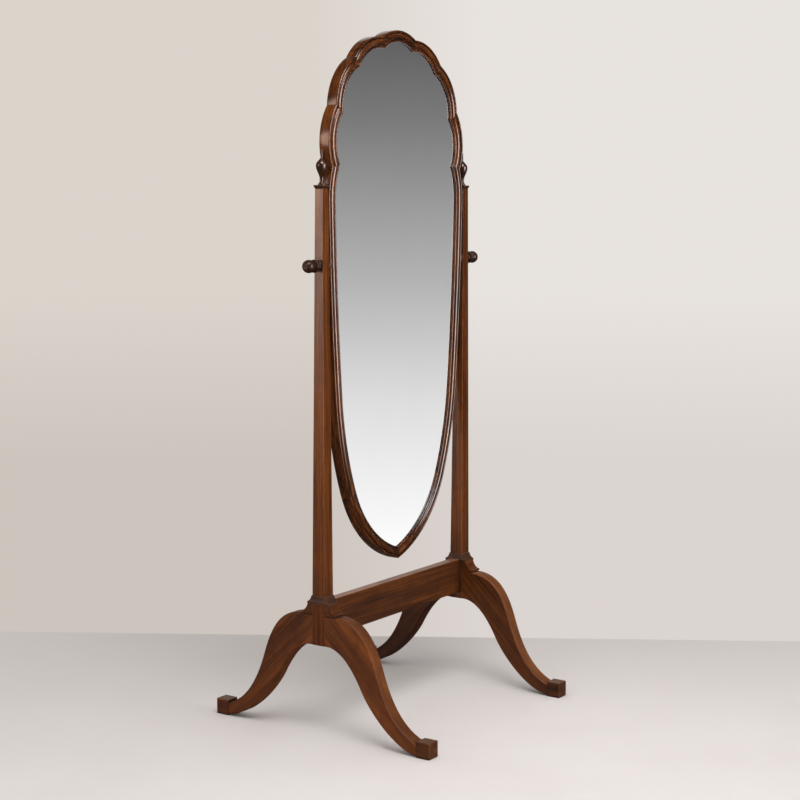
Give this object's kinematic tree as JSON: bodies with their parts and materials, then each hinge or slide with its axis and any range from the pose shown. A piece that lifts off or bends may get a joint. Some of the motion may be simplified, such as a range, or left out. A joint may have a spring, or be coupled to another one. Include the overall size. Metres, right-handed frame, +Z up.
{
  "type": "cheval floor mirror",
  "caption": "Floor-standing dressing mirror: shield-shaped glass with a scalloped top, tilting between tapered posts on sabre legs joined by a rail.",
  "frame": {"origin": "on the floor, midway between the two posts", "axes": "+X to the right along the stretcher, -Y is the side the glass faces, +Z up"},
  "size_m": [0.6788, 0.594, 1.5668],
  "materials": {
    "mahogany": "polished, with worn and darkened edges",
    "dark_mahogany": "polished, darkened with age",
    "softwood": "raw, aged",
    "mirror_glass": "silvered plate glass",
    "brass": "dulled",
    "steel": "dull",
    "leather": "worn"
  },
  "bodies": {
    "stand": {"left_post": "mahogany", "right_post": "mahogany", "left_front_leg": "mahogany", "right_front_leg": "mahogany", "left_rear_leg": "mahogany", "right_rear_leg": "mahogany", "left_front_toe": "mahogany", "right_front_toe": "mahogany", "left_rear_toe": "mahogany", "right_rear_toe": "mahogany", "stretcher_rail": "mahogany", "left_post_collar": "dark_mahogany", "right_post_collar": "dark_mahogany", "left_front_saddle": "dark_mahogany", "right_front_saddle": "dark_mahogany", "left_rear_saddle": "dark_mahogany", "right_rear_saddle": "dark_mahogany", "left_post_cap": "dark_mahogany", "right_post_cap": "dark_mahogany", "left_finial": "dark_mahogany", "right_finial": "dark_mahogany", "leg_dowels": "softwood"},
    "mirror": {"left_stile": "mahogany", "right_stile": "mahogany", "left_point_rail": "mahogany", "right_point_rail": "mahogany", "left_shoulder_rail": "mahogany", "right_shoulder_rail": "mahogany", "left_upper_rail": "mahogany", "right_upper_rail": "mahogany", "left_crown_rail": "mahogany", "right_crown_rail": "mahogany", "crest_rail": "mahogany", "frame_dowels": "softwood", "mirror_glass": "mirror_glass", "back_board": "softwood", "glass_blocks": "softwood", "back_board_screws": "brass", "left_pivot_plate": "brass", "right_pivot_plate": "brass", "pivot_plate_screws": "brass", "left_friction_washer": "leather", "right_friction_washer": "leather"},
    "left_travel": {"left_knob_washer": "brass"},
    "left_knob": {"left_knob": "dark_mahogany", "left_pivot_bolt": "steel"},
    "right_travel": {"right_knob_washer": "brass"},
    "right_knob": {"right_knob": "dark_mahogany", "right_pivot_bolt": "steel"}
  },
  "joints": [
    {"name": "mirror_tilt", "type": "hinge", "parent": "stand", "child": "mirror", "pos_m": [0, 0, 1.04616], "axis": [1, 0, 0], "range_deg": [-165, 165]},
    {"name": "left_knob_travel", "type": "slide", "parent": "mirror", "child": "left_travel", "axis": [-1, 0, 0], "range_m": [0, 0.00254]},
    {"name": "left_knob_turn", "type": "hinge", "parent": "left_travel", "child": "left_knob", "pos_m": [-0.3, 0, 1.04616], "axis": [-1, 0, 0], "range_deg": [0, 720]},
    {"name": "right_knob_travel", "type": "slide", "parent": "mirror", "child": "right_travel", "axis": [1, 0, 0], "range_m": [0, 0.00254]},
    {"name": "right_knob_turn", "type": "hinge", "parent": "right_travel", "child": "right_knob", "pos_m": [0.3, 0, 1.04616], "axis": [1, 0, 0], "range_deg": [0, 720]}
  ],
  "couplings": [
    {"joint": "left_knob_turn", "follows": "left_knob_travel", "rad_per_m": 4947.4},
    {"joint": "right_knob_turn", "follows": "right_knob_travel", "rad_per_m": 4947.4}
  ]
}
